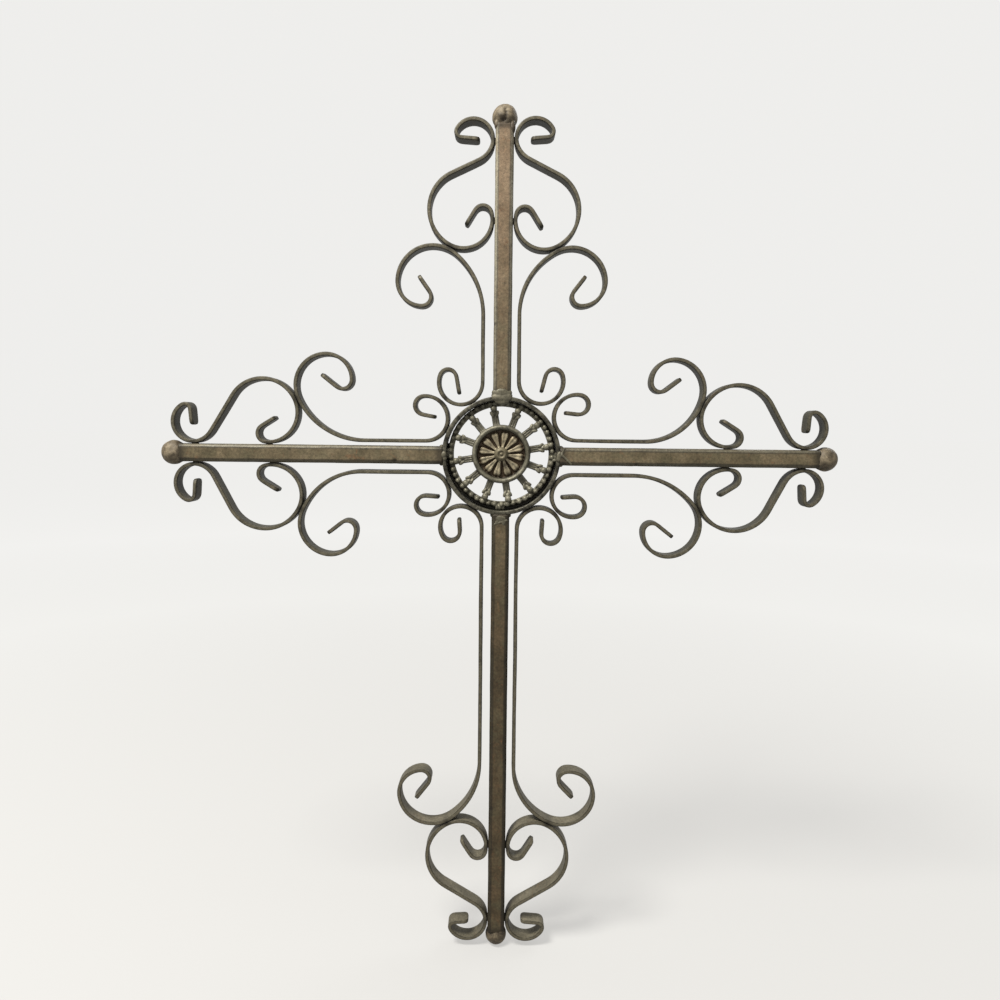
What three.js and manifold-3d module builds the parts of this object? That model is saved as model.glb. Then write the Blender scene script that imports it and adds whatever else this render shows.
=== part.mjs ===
// Wrought iron wall cross: four square bars with ball ends, a hoop with a cast medallion at the crossing,
// and sixteen bent strap scrolls in mirrored pairs, two pairs to an arm.
// Millimetres. +Z up, +X to the viewer's right, the front faces -Y and the flat back lies at y = 0.
import * as THREE from 'three';
import { mergeVertices } from 'three/addons/utils/BufferGeometryUtils.js';
import Module from 'manifold-3d';

// Bars, hoop and balls
const barSize = 12.7;            // square bar stock, across the flats
const barBevel = 2.0;            // worn corner of the bar
const hoopRadius = 42.3;         // hoop, outside
const hoopThickness = 3.0;
const hoopDepth = 12.0;
const ballRadius = 8.7;
const lowerBallRadius = 7.8;
const collarHeight = 2.6;        // weld filler round the neck of a ball
const collarSpread = 1.1;        // how far the filler stands off the flat of the bar

// Strap and the gap left between pieces that are welded together
const strapThickness = 2.7;
const strapDepth = 11.0;
const weldGap = 0.3;

// Middle of a strap's straight run, from the middle of the bar; hand fitting leaves each arm's a little its own
const upperStrapOffset = 13.1;
const rightStrapOffset = 12.3;
const lowerStrapOffset = 12.2;
const leftStrapOffset = 11.2;

// Reach of each arm from the crossing to the far side of its ball
const upperReach = 241.1;
const rightReach = 240.8;
const lowerReach = 371.2;
const leftReach = 243.2;
const hangHeight = 70;           // the point on the wall, above the crossing

// Curl at the hoop: a tighter hook inside the first bend, then a straight tip
const ringHookRadius = 7.4;
const ringHookAngle = 12;
const ringTipHeading = 94;
const ringTipLength = 8.5;

// Curl at the outer end of a long scroll
const crestRadius = 24.3;
const crestJoin = 133;           // where the long bend runs into the crest
const crestDrop = 4;             // where the crest tightens into the drop
const dropRadius = 17.8;
const dropHookRadius = 6.4;
const dropHookAngle = -91;
const dropTipHeading = 52;
const dropTipLength = 13.2;

// S scroll: outer curl beside the ball, bow, inner curl against the bar
const outerCurlRadius = 13.4;
const outerHookRadius = 3.6;
const outerHookAngle = 28;
const outerTipHeading = 4;
const outerTipLength = 10.5;
const easeRadius = 19;           // the outer curl opens out on its way to the bow
const easeAngle = 200;
const bowRadius = 28.8;
const innerCurlRadius = 20.0;
const meetAngle = -64;           // bow, inner curl and crest meet on one line through their centres
const innerHookRadius = 6.2;
const innerHookAngle = 168;
const innerTipHeading = -58;
const innerTipLength = 12.0;

// Where each arm's S scrolls sit: from the far side of the ball to the top of the outer curl,
// and the straight link between the outer curl and the bow
const upperCurlInset = 9.4;
const rightCurlInset = 8.6;
const lowerCurlInset = 4.4;
const leftCurlInset = 7.4;
const upperLink = 8;
const rightLink = 14;
const lowerLink = 20.5;
const leftLink = 10.5;

// Medallion, cast in one, openwork between the spokes
const medallionRadius = 37.4;
const medallionDepth = 4.4;
const medallionBack = 4.0;       // clear of the wall
const rimWidth = 4.4;
const rimShoulder = 2.6;         // height of the rim's sides
const rimDraft = 0.6;            // how far the rim's outer side leans in at the back
const beadCount = 44;
const beadHeight = 1.5;
const beadDip = 0.75;            // how far the rim draws in between two beads
const hubRingRadius = 20.4;
const hubRingWidth = 3.4;
const hubFloor = 2.0;            // closed floor behind the petals
const crownHeight = 1.6;         // the inner ring and the boss stand this far over the rest
const bossRadius = 4.9;
const bossDome = 1.2;
const bossDimple = 0.7;
const tackWidth = 7.0;           // the four weld tacks that hold the medallion in the hoop
const tackTaper = 0.7;
const tackDepth = 3.6;
const tackBack = 0.4;            // behind the tack, to the medallion's back

// Baluster spokes between the inner ring and the beaded rim
const spokeCount = 12;
const spokePhase = 20.5;         // degrees from the top, towards +X
const spokeWidth = 4.0;
const spokeWaist = 1.5;          // half width above the shaft's foot
const capitalHalf = 3.0;         // half width over the leaves
const capitalHeight = 3.0;
const capitalLift = 2.5;         // from the middle of the spoke out to the leaves
const neckHalf = 1.4;            // between the leaves and the knob
const knobRadius = 2.3;
const knobInset = 0.7;           // from the knob's middle to the rim's inner edge
const spokeSides = 6;

// Petals between the boss and the inner ring
const petalCount = 12;
const petalPhase = 9;
const petalWidth = 3.4;
const petalRoot = 1.36;          // width at the boss
const petalShoulder = 2.4;       // from the widest place to the tip
const petalTip = 1.7;            // width at the tip
const petalInset = 0.8;          // tip to the inner ring
const petalHeight = 4.2;         // over the medallion's back

// Fineness of the facets
const chordTolerance = 0.31;
const coarsestStep = 26;
const hoopFacets = 48;
const ballFacets = 14;
const hubFacets = 26;

const strapHalf = strapThickness / 2;
const barHalf = barSize / 2;
const barContact = barHalf + weldGap + strapHalf;
const degree = Math.PI / 180;

const wasm = await Module();
wasm.setup();

function atAngle(centre, radius, angle) {
  return new THREE.Vector2(
    centre.x + radius * Math.cos(angle * degree),
    centre.y + radius * Math.sin(angle * degree),
  );
}

function arcSteps(radius, sweep) {
  const step = Math.min(coarsestStep, 2 * Math.acos(1 - chordTolerance / radius) / degree);
  return Math.max(2, Math.ceil(Math.abs(sweep) / step));
}

// A bend is an arc of the strap's middle line, walked from one angle to another.
function bend(centre, radius, from, to) {
  return { centre, radius, from, to, clockwise: to < from };
}

// Unit vector of travel at one angle of a bend.
function travel(arc, angle) {
  const sign = arc.clockwise ? 1 : -1;
  return new THREE.Vector2(sign * Math.sin(angle * degree), -sign * Math.cos(angle * degree));
}

// One edge of a run of bends: side +1 is the left hand of someone walking along the strap.
function edgePoints(bends, side) {
  const points = [];
  for (const arc of bends) {
    const offset = arc.radius + side * (arc.clockwise ? strapHalf : -strapHalf);
    const steps = arcSteps(arc.radius, arc.to - arc.from);
    for (let i = 0; i <= steps; i += 1) {
      const point = atAngle(arc.centre, offset, arc.from + (arc.to - arc.from) * i / steps);
      const last = points[points.length - 1];
      if (!last || last.distanceTo(point) > chordTolerance) points.push(point);
    }
  }
  return points;
}

// Half round end of a strap, from its left edge to its right edge.
function roundedEnd(middle, heading) {
  const left = Math.atan2(heading.y, heading.x) / degree + 90;
  const cuts = 4;
  const points = [];
  for (let i = 0; i <= cuts; i += 1) points.push(atAngle(middle, strapHalf, left - 180 * i / cuts));
  return points;
}

// Closed outline of a strap with a straight tip at each end.
function strapOutline(bends, startTip, endTip) {
  const first = bends[0];
  const last = bends[bends.length - 1];
  const out = travel(last, last.to);
  const back = travel(first, first.from).negate();
  const endMiddle = atAngle(last.centre, last.radius, last.to).addScaledVector(out, endTip);
  const startMiddle = atAngle(first.centre, first.radius, first.from).addScaledVector(back, startTip);
  return [
    ...edgePoints(bends, 1),
    ...roundedEnd(endMiddle, out),
    ...edgePoints(bends, -1).reverse(),
    ...roundedEnd(startMiddle, back),
  ];
}

// Extrudes an outline drawn as (across, outwards) towards the front, from the back plane.
function plate(outline, depth, side = 1, back = 0) {
  const shape = new THREE.Shape(outline.map((p) => new THREE.Vector2(side * p.x, p.y)));
  const geometry = new THREE.ExtrudeGeometry(shape, { depth, bevelEnabled: false });
  geometry.rotateX(90 * degree);
  geometry.translate(0, -back, 0);
  return geometry;
}

// First bend at the hoop. It touches the hoop and its mirror twin on the neighbouring arm,
// so its radius solves (offset + r)^2 + height^2 = (hoop + r)^2 with the height that the twin asks for.
function ringBend(offset) {
  const touch = hoopRadius + weldGap + strapHalf;
  const twinGap = Math.SQRT2 * (strapThickness + weldGap) / 2;
  const slope = 1 + Math.SQRT2;
  const base = offset + twinGap;
  const half = offset + slope * base - touch;
  const rest = offset ** 2 + base ** 2 - touch ** 2;
  const radius = (-half + Math.sqrt(half ** 2 - slope ** 2 * rest)) / slope ** 2;
  return { radius, centre: new THREE.Vector2(offset + radius, base + slope * radius) };
}

// Centres of an S scroll's curls and bow, worked inwards from the end of the arm.
function scrollCentres(arm) {
  const outer = new THREE.Vector2(
    barContact + outerCurlRadius,
    arm.reach - arm.curlInset - strapHalf - outerCurlRadius,
  );
  const ease = atAngle(outer, outerCurlRadius - easeRadius, easeAngle);
  const meet = new THREE.Vector2(Math.cos(meetAngle * degree), Math.sin(meetAngle * degree));
  const inner = new THREE.Vector2(barContact + innerCurlRadius, 0);
  const bow = inner.clone().addScaledVector(meet, innerCurlRadius - bowRadius);
  const apart = Math.hypot(bowRadius + easeRadius, arm.link);
  const lift = ease.y - Math.sqrt(apart ** 2 - (ease.x - bow.x) ** 2) - bow.y;
  inner.y += lift;
  bow.y += lift;
  const crestReach = innerCurlRadius + crestRadius + strapThickness + weldGap;
  const crest = inner.clone().addScaledVector(meet, crestReach);
  return { outer, ease, inner, bow, crest, apart };
}

function longScroll(arm) {
  const ring = ringBend(arm.offset);
  const { crest } = scrollCentres(arm);
  const lean = -Math.cos(crestJoin * degree);
  const longRadius = (crest.x - arm.offset - crestRadius * lean) / (1 - lean);
  const ringHook = atAngle(ring.centre, ring.radius - ringHookRadius, ringHookAngle);
  const long = atAngle(crest, crestRadius - longRadius, crestJoin);
  const drop = atAngle(crest, crestRadius - dropRadius, crestDrop);
  const dropHook = atAngle(drop, dropRadius - dropHookRadius, dropHookAngle);
  return strapOutline([
    bend(ringHook, ringHookRadius, ringTipHeading + 90, ringHookAngle),
    bend(ring.centre, ring.radius, ringHookAngle, -180),
    bend(long, longRadius, 180, crestJoin),
    bend(crest, crestRadius, crestJoin, crestDrop),
    bend(drop, dropRadius, crestDrop, dropHookAngle),
    bend(dropHook, dropHookRadius, dropHookAngle, dropTipHeading - 270),
  ], ringTipLength, dropTipLength);
}

function sScroll(arm) {
  const { outer, ease, inner, bow, apart } = scrollCentres(arm);
  const outerHook = atAngle(outer, outerCurlRadius - outerHookRadius, outerHookAngle);
  const innerHook = atAngle(inner, innerCurlRadius - innerHookRadius, innerHookAngle);
  // The link is the crossing tangent of the eased curl and the bow.
  const towardsBow = Math.atan2(bow.y - ease.y, bow.x - ease.x) / degree + 360;
  const leave = towardsBow - Math.acos((bowRadius + easeRadius) / apart) / degree;
  return strapOutline([
    bend(outerHook, outerHookRadius, outerTipHeading - 90, outerHookAngle),
    bend(outer, outerCurlRadius, outerHookAngle, easeAngle),
    bend(ease, easeRadius, easeAngle, leave),
    bend(bow, bowRadius, leave - 180, meetAngle),
    bend(inner, innerCurlRadius, meetAngle, innerHookAngle - 360),
    bend(innerHook, innerHookRadius, innerHookAngle, innerTipHeading + 90),
  ], outerTipLength, innerTipLength);
}

// Bar from the hoop out to the flat under its ball, with bevelled corners.
function barGeometry(arm) {
  const flat = barHalf - barBevel;
  const section = new THREE.Shape([
    new THREE.Vector2(barHalf, -flat), new THREE.Vector2(barHalf, flat),
    new THREE.Vector2(flat, barHalf), new THREE.Vector2(-flat, barHalf),
    new THREE.Vector2(-barHalf, flat), new THREE.Vector2(-barHalf, -flat),
    new THREE.Vector2(-flat, -barHalf), new THREE.Vector2(flat, -barHalf),
  ]);
  const start = hoopRadius + weldGap;
  const end = neckHeight(arm) - weldGap;
  const geometry = new THREE.ExtrudeGeometry(section, { depth: end - start, bevelEnabled: false });
  geometry.translate(0, -barHalf, start);
  return geometry;
}

function neckRadius() {
  return barHalf + collarSpread;
}

// Height of the flat that a ball stands on.
function neckHeight(arm) {
  const centre = arm.reach - arm.ball;
  return centre - Math.sqrt(Math.max(0, arm.ball ** 2 - barHalf ** 2));
}

// Ball and the weld filler at its neck, turned as one.
function ballGeometry(arm) {
  const centre = arm.reach - arm.ball;
  const neck = neckHeight(arm);
  const start = -Math.asin((centre - neck - collarHeight) / arm.ball) / degree;
  const profile = [
    new THREE.Vector2(0, neck),
    new THREE.Vector2(neckRadius() - collarSpread, neck),
    new THREE.Vector2(neckRadius(), neck + collarHeight / 2),
  ];
  const steps = ballFacets / 2 - 1;
  for (let i = 0; i < steps; i += 1) {
    const point = atAngle({ x: 0, y: centre }, arm.ball, start + (90 - start) * i / steps);
    profile.push(point);
  }
  profile.push(new THREE.Vector2(0, arm.reach));
  const geometry = new THREE.LatheGeometry(profile, ballFacets);
  geometry.rotateX(90 * degree);
  geometry.translate(0, -barHalf, 0);
  return geometry;
}

function hoopGeometry() {
  const outer = new THREE.Shape();
  outer.absarc(0, 0, hoopRadius, 0, 2 * Math.PI);
  const hole = new THREE.Path();
  hole.absarc(0, 0, hoopRadius - hoopThickness, 0, 2 * Math.PI);
  outer.holes.push(hole);
  const geometry = new THREE.ExtrudeGeometry(outer, {
    depth: hoopDepth, bevelEnabled: false, curveSegments: hoopFacets / 2,
  });
  geometry.rotateX(90 * degree);
  return geometry;
}

// Closed mesh of three.js to a solid that can be joined.
function solid(geometry) {
  const bare = geometry.clone();
  bare.deleteAttribute('normal');
  bare.deleteAttribute('uv');
  const merged = mergeVertices(bare, 1e-4);
  return new wasm.Manifold(new wasm.Mesh({
    numProp: 3,
    vertProperties: new Float32Array(merged.attributes.position.array),
    triVerts: new Uint32Array(merged.index.array),
  }));
}

function meshGeometry(body) {
  const data = body.getMesh();
  const geometry = new THREE.BufferGeometry();
  geometry.setAttribute('position', new THREE.BufferAttribute(new Float32Array(data.vertProperties), 3));
  geometry.setIndex(new THREE.BufferAttribute(new Uint32Array(data.triVerts), 1));
  geometry.computeVertexNormals();
  return geometry;
}

// Points a turned or drawn piece of the medallion from +Z (outwards) to its angle from the top.
function turnedTo(geometry, angle) {
  geometry.rotateY(angle * degree);
  return geometry;
}

// Lathe ring about the medallion's axis: profile points are (radius, height above the back).
function turnedFace(profile, segments) {
  const geometry = new THREE.LatheGeometry(profile.map(([r, h]) => new THREE.Vector2(r, h)), segments);
  geometry.rotateX(180 * degree);
  geometry.translate(0, -medallionBack, 0);
  return geometry;
}

// Rim whose front swells and sinks into a row of beads.
function beadedRim() {
  const inside = medallionRadius - rimWidth;
  const profile = [
    [inside, 0], [medallionRadius - rimDraft, 0], [medallionRadius, rimShoulder],
    [medallionRadius - rimWidth / 2, medallionDepth], [inside, rimShoulder], [inside, 0],
  ];
  const geometry = turnedFace(profile, beadCount * 2);
  const place = geometry.attributes.position;
  for (let i = 0; i < place.count; i += 1) {
    const column = Math.floor(i / profile.length);
    const row = i % profile.length;
    if (row === 3 && column % 2 === 0) place.setY(i, place.getY(i) - beadHeight);
    if (row === 2 && column % 2 === 1) {
      const shrink = 1 - beadDip / medallionRadius;
      place.setX(i, place.getX(i) * shrink);
      place.setZ(i, place.getZ(i) * shrink);
    }
  }
  return geometry;
}

// Inner ring, its closed floor and the boss in the middle.
function hubFace() {
  const inside = hubRingRadius - hubRingWidth;
  const crown = medallionDepth + crownHeight;
  const top = crown + bossDome;
  return turnedFace([
    [0, 0], [hubRingRadius, 0], [hubRingRadius, medallionDepth], [hubRingRadius - hubRingWidth / 2, crown],
    [inside, medallionDepth], [inside, hubFloor], [bossRadius, hubFloor], [bossRadius, crown],
    [bossRadius / 2, top], [0, top - bossDimple],
  ], hubFacets);
}

// Baluster spoke from the inner ring to the rim: fluted shaft, leaf capital and round knob.
function spoke(angle) {
  const start = hubRingRadius - hubRingWidth / 2;
  const knob = medallionRadius - rimWidth - knobInset;
  const leaf = (start + knob) / 2 + capitalLift;
  const profile = [
    [0, start], [spokeWidth / 2, start], [spokeWaist, leaf - capitalHeight], [capitalHalf, leaf],
    [neckHalf, knob - knobRadius], [knobRadius, knob], [knobRadius / 2, knob + knobRadius],
    [0, knob + knobRadius],
  ];
  const geometry = new THREE.LatheGeometry(profile.map(([r, h]) => new THREE.Vector2(r, h)), spokeSides);
  geometry.rotateX(90 * degree);
  geometry.translate(0, -medallionBack - medallionDepth / 2, 0);
  return turnedTo(geometry, angle);
}

// Petal between the boss and the inner ring, widest near its outer end.
function petal(angle) {
  const root = bossRadius - petalInset;
  const end = hubRingRadius - hubRingWidth - petalInset;
  const half = petalWidth / 2;
  const outline = [
    new THREE.Vector2(-petalRoot / 2, root), new THREE.Vector2(petalRoot / 2, root),
    new THREE.Vector2(half, end - petalShoulder), new THREE.Vector2(petalTip / 2, end),
    new THREE.Vector2(-petalTip / 2, end), new THREE.Vector2(-half, end - petalShoulder),
  ];
  const rise = hubFloor / 2;
  return turnedTo(plate(outline, petalHeight - rise, 1, medallionBack + rise), angle);
}

// Weld tack between the medallion and the hoop.
function tack(angle) {
  const half = tackWidth / 2;
  const inside = medallionRadius - rimWidth / 2;
  const outside = Math.sqrt((hoopRadius - hoopThickness - weldGap) ** 2 - half ** 2) - weldGap;
  const outline = [
    new THREE.Vector2(-half, inside), new THREE.Vector2(half, inside),
    new THREE.Vector2(half - tackTaper, outside), new THREE.Vector2(-half + tackTaper, outside),
  ];
  return turnedTo(plate(outline, tackDepth, 1, medallionBack + tackBack), angle);
}

function medallionGeometry() {
  let body = solid(beadedRim()).add(solid(hubFace()));
  for (let i = 0; i < spokeCount; i += 1) body = body.add(solid(spoke(spokePhase + 360 * i / spokeCount)));
  for (let i = 0; i < petalCount; i += 1) body = body.add(solid(petal(petalPhase + 360 * i / petalCount)));
  for (const angle of [0, 90, 180, 270]) body = body.add(solid(tack(angle)));
  return meshGeometry(body);
}

function finish(colour, roughness, metalness) {
  return new THREE.MeshStandardMaterial({ color: colour, roughness, metalness });
}

const finishes = {
  bar: finish(0x6b5640, 0.5, 0.75),
  strap: finish(0x4a4638, 0.5, 0.75),
  hoop: finish(0x3f3a2f, 0.55, 0.7),
  ball: finish(0x75604a, 0.4, 0.8),
  medallion: finish(0x59523f, 0.5, 0.75),
};

const arms = [
  {
    name: 'upper', turn: 0, reach: upperReach, ball: ballRadius,
    offset: upperStrapOffset, curlInset: upperCurlInset, link: upperLink,
  },
  {
    name: 'right', turn: 90, reach: rightReach, ball: ballRadius,
    offset: rightStrapOffset, curlInset: rightCurlInset, link: rightLink,
  },
  {
    name: 'lower', turn: 180, reach: lowerReach, ball: lowerBallRadius,
    offset: lowerStrapOffset, curlInset: lowerCurlInset, link: lowerLink,
  },
  {
    name: 'left', turn: -90, reach: leftReach, ball: ballRadius,
    offset: leftStrapOffset, curlInset: leftCurlInset, link: leftLink,
  },
];

function piece(name, geometry, material) {
  const mesh = new THREE.Mesh(geometry, material);
  mesh.name = name;
  return mesh;
}

const cross = new THREE.Group();
cross.position.z = -hangHeight;
cross.add(piece('hoop', hoopGeometry(), finishes.hoop));
cross.add(piece('medallion', medallionGeometry(), finishes.medallion));

// Each arm is drawn pointing up and turned about the crossing.
for (const arm of arms) {
  const group = new THREE.Group();
  group.rotation.y = arm.turn * degree;
  group.add(piece(`${arm.name}_bar`, barGeometry(arm), finishes.bar));
  group.add(piece(`${arm.name}_ball`, ballGeometry(arm), finishes.ball));
  for (const [word, side] of [['a', -1], ['b', 1]]) {
    group.add(piece(`${arm.name}_long_scroll_${word}`, plate(longScroll(arm), strapDepth, side), finishes.strap));
    group.add(piece(`${arm.name}_s_scroll_${word}`, plate(sScroll(arm), strapDepth, side), finishes.strap));
  }
  cross.add(group);
}

export default cross;
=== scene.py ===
"""Wrought iron wall cross: the finished look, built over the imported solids.

The drawing code works in millimetres in an arm's own frame: across the bar, depth (front is negative) and
outwards along the arm. place() turns them into metres in the object's frame, in which the camera, the
lamps and the floor are set out. Side -1 is an arm's own left and 1 its right, seen from the front and
looking outwards.
"""
import math

import bmesh
import bpy
import numpy as np
from mathutils import Matrix, Vector, noise


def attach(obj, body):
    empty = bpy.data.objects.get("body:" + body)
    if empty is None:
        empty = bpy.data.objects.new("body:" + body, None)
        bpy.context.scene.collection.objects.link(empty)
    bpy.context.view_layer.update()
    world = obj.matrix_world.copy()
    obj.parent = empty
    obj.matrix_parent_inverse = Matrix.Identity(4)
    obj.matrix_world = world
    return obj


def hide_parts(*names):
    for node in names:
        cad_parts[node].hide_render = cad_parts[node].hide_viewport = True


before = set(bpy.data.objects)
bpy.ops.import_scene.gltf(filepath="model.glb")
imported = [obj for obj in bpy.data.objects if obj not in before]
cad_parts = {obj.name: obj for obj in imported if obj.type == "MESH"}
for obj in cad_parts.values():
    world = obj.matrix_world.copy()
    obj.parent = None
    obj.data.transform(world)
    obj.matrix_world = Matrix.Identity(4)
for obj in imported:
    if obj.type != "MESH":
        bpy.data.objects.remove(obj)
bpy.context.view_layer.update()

MM = 0.001
HANG = 70.0            # the hub's middle lies this far below the origin
BAR = 12.7
BAR_HALF = BAR / 2
BAR_BEVEL = 2.1
STRAP = 2.7
STRAP_HALF = STRAP / 2
STRAP_DEPTH = 11.0
STRAP_CORNER = 0.6
STRAP_END_THIN = 1.1   # how far back from its end a strap thins, and how far its corners are rounded
STRAP_END_ROUND = 3.6
# STRAP_EDGE is the width of the painted shade line along a strap's corners
STRAP_EDGE = 0.45      # width of the dark line along its edges
BEND_EASE = 1.2        # spread over which one bend eases into the next
STEP = 0.9             # between points along bars and scroll paths
STRAP_STEP = 1.0       # between the sections of a strap
GAP = 0.3              # between pieces that are welded, as in the solids
HOOP_RADIUS = 42.3     # outside
HOOP_THICK = 3.0
HOOP_DEPTH = 12.0
HOOP_CORNER = 0.8

# Medallion: radii and heights above its own back
MEDAL_BACK = 4.0       # clear of the wall
MEDAL_SHIFT = 1.2      # it sits a little high in the hoop
BEADS = 50
BEAD_CIRCLE = 36.4     # through the beads' middles
SPOKES = 12
SPOKE_PHASE = 20.5     # degrees from the top
SPOKE_ROOT = 19.6
SHAFT_TIP = 28.7       # the fluting ends here
LEAF_AT = 28.9
BUD_AT = 30.2
KNOB_AT = 32.7
SPOKE_TIP = 33.0
TACK_AT = 38.3
PETALS = 12
PETAL_PHASE = 10.5
PETAL_ROOT = 4.4
PETAL_TIP = 17.0
BOSS_RADIUS = 4.9
BOSS_EDGE = 5.1        # the boss's and the hub's own tones end here
HUB_EDGE = 21.4
# the flange is a thin dark sheet of painted shade behind the rim, where the gap to the hoop lies in shade;
# light shows past its slot
SHADE_SHEET_IN = 35.0       # the thin flange behind the rim closes the ring to the hoop
SHADE_SHEET_OUT = 39.3
SHADE_SHEET_THICK = 1.0
SHADE_SHEET_START = -30     # degrees from the top; from its end round to its start again is the slot
SHADE_SHEET_END = 283
SLOT_EDGE = 38.2       # the flange is cut back to this along the slot, and light shows past it
CAST_VOXEL = 0.00040   # metres, of the skins over cast and weld
BALL_VOXEL = 0.00036

# Heights in metres: the bars darken with painted shade from the first to the second, the straps are paler
# below the third
BAR_SHADE_TOP = 0.12
BAR_SHADE_FOOT = -0.25
SCROLL_FOOT = -0.24

# Room, in metres; the camera is a phone held close, level with the hub, tilted down and rolled a little
PALE = (0.86, 0.855, 0.838)
FLOOR_SIZE = 30.0
FLOOR_LEVEL = -0.4414
FLOOR_FADE = 2.4       # the floor reaches the studio's tone this far out
LIT_MIDDLE = (0, 0, -0.1)
CAMERA_PLACE = (-0.0005, -0.5593, -0.0487)
CAMERA_RIGHT = (0.99994, 0.00109, 0.01129)
CAMERA_FORWARD = (0.0, 0.9954, -0.0958)
LENS = 27.72
SENSOR = 36.0

ARM_SEEDS = 30         # noise seeds set aside for each arm
ARMS = {
    "upper": dict(turn=0, reach=241.1, ball=8.7),
    "right": dict(turn=90, reach=240.8, ball=8.7),
    "lower": dict(turn=180, reach=371.2, ball=7.8),
    "left": dict(turn=-90, reach=243.2, ball=8.7),
}
# A long scroll runs through ring_tip, ring_hook, ring (the curl at the hoop), crest, drop, drop_hook and
# drop_tip, and an S scroll through outer_tip, outer_hook, outer, ease, bow, inner, inner_hook and
# inner_tip. Plain names and hooks are radii. A tip is the length of a straight end and a heading its
# direction. The angles, crest_join, crest_drop and meet say where one bend hands over to the next.
BENDS = dict(
    ring_hook=7.4, ring_angle=12, ring_heading=94, ring_tip=8.5,
    crest=23.2, crest_join=113, crest_drop=4, drop=17.8, drop_hook=6.4, drop_angle=-91,
    drop_heading=52, drop_tip=13.2,
    outer=13.4, outer_hook=3.6, outer_angle=28, outer_heading=4, outer_tip=10.5, ease=16.0, ease_angle=200,
    bow=27.4, inner=20.0, meet=-64, inner_hook=6.2, inner_angle=168, inner_heading=-58, inner_tip=12.0,
)
# No two scrolls are bent alike: what differs from the common bends, by arm and side. offset is the long
# scroll's distance from the middle of the bar, inset the S scroll's from the arm's end, and link the
# straight run between its ease and its bow.
BENT_ASIDE = {
    ("upper", -1): dict(offset=13.9, ring=15.4, ring_hook=5.9, ring_angle=20, ring_heading=80, ring_tip=11.5,
                        crest=24.9, crest_join=130, drop=17.0, drop_heading=54, drop_tip=12.0, inset=9.4,
                        bow=26.8, link=21.5, outer_tip=12.0, inner_tip=11.0),
    ("upper", 1): dict(offset=11.9, ring=15.8, ring_hook=6.2, ring_angle=16, ring_heading=76, ring_tip=11.0,
                       crest=23.4, crest_join=119, drop=16.9, drop_tip=12.2, inset=8.6, bow=27.2, link=22.5,
                       outer_tip=11.0),
    ("right", -1): dict(offset=11.2, ring=16.4, ring_hook=7.0, ring_angle=8, ring_heading=96, crest=21.6,
                        crest_join=105, drop=16.3, drop_tip=12.2, inset=8.6, bow=27.0, link=26.0),
    ("right", 1): dict(offset=13.4, ring=15.2, crest_join=131, inset=9.6, link=23.0, outer=13.3),
    ("lower", 1): dict(offset=13.6, ring=14.9, ring_hook=6.6, ring_angle=28, crest=24.4, crest_join=127,
                       drop=17.3, drop_angle=-86, drop_tip=14.0, inset=4.4, outer=14.2, outer_tip=9.6,
                       ease=17.0, bow=27.8, link=27.0),
    ("lower", -1): dict(offset=11.8, ring=16.0, ring_hook=6.8, ring_angle=22, ring_tip=9.5, drop=18.4,
                        drop_hook=6.6, drop_angle=-96, drop_heading=46, drop_tip=12.0, inset=4.4,
                        outer=14.2, outer_tip=12.0, ease=17.0, bow=27.8, link=26.5),
    ("left", -1): dict(offset=12.3, ring=15.4, ring_hook=6.8, crest=22.6, drop=18.2, drop_tip=11.8,
                       inset=9.0, outer=13.8, outer_hook=4.2, inner=21.4, link=25.6),
    ("left", 1): dict(offset=9.9, ring=16.0, ring_hook=6.6, ring_angle=6, ring_heading=80, crest=22.2,
                      crest_join=115, inset=8.3, outer=14.0, outer_tip=10.4, bow=24.8, link=30.5,
                      inner=21.4, meet=-66, inner_angle=176, inner_tip=10.6),
}


def place(points, turn):
    """From an arm's own frame to metres in the object's."""
    angle = math.radians(turn)
    points = np.asarray(points, float)
    out = np.empty_like(points)
    out[..., 0] = points[..., 0] * math.cos(angle) + points[..., 2] * math.sin(angle)
    out[..., 1] = points[..., 1]
    out[..., 2] = points[..., 2] * math.cos(angle) - points[..., 0] * math.sin(angle) - HANG
    return out * MM


def local(points, turn):
    """Back from the object's frame, in millimetres, to an arm's own."""
    points = points + np.array([0, 0, HANG])
    a = math.radians(turn)
    return np.column_stack([
        points[:, 0] * math.cos(a) - points[:, 2] * math.sin(a), points[:, 1],
        points[:, 2] * math.cos(a) + points[:, 0] * math.sin(a)])


def ripple(points, scale, seed):
    """Smooth noise in -1..1 at each point, scale in the points' own unit."""
    shift = Vector((seed * 7.31, seed * 3.17, seed * 5.77))
    return np.array([noise.noise(Vector(p) / scale + shift) for p in np.asarray(points, float)])


def at_angle(centre, radius, angle):
    a = math.radians(angle)
    return np.array([centre[0] + radius * math.cos(a), centre[1] + radius * math.sin(a)])


# Camera, light and floor

def camera():
    data = bpy.data.cameras.new("camera")
    data.lens = LENS
    data.sensor_width = SENSOR
    data.clip_start = 0.01
    data.clip_end = 60.0
    ob = bpy.data.objects.new("camera", data)
    bpy.context.scene.collection.objects.link(ob)
    right = Vector(CAMERA_RIGHT).normalized()
    forward = Vector(CAMERA_FORWARD).normalized()
    up = right.cross(forward).normalized()
    right = forward.cross(up).normalized()
    turn = Matrix((right, up, -forward)).transposed()
    ob.matrix_world = Matrix.Translation(Vector(CAMERA_PLACE)) @ turn.to_4x4()
    bpy.context.scene.camera = ob


def area_light(name, place_at, size, power, colour):
    """A round soft lamp that faces the middle of the cross."""
    data = bpy.data.lights.new(name, "AREA")
    data.shape = "DISK"
    data.size = size
    data.energy = power
    data.color = colour
    ob = bpy.data.objects.new(name, data)
    ob.location = place_at
    ob.rotation_euler = (Vector(LIT_MIDDLE) - Vector(place_at)).to_track_quat("-Z", "Y").to_euler()
    bpy.context.scene.collection.objects.link(ob)


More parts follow.
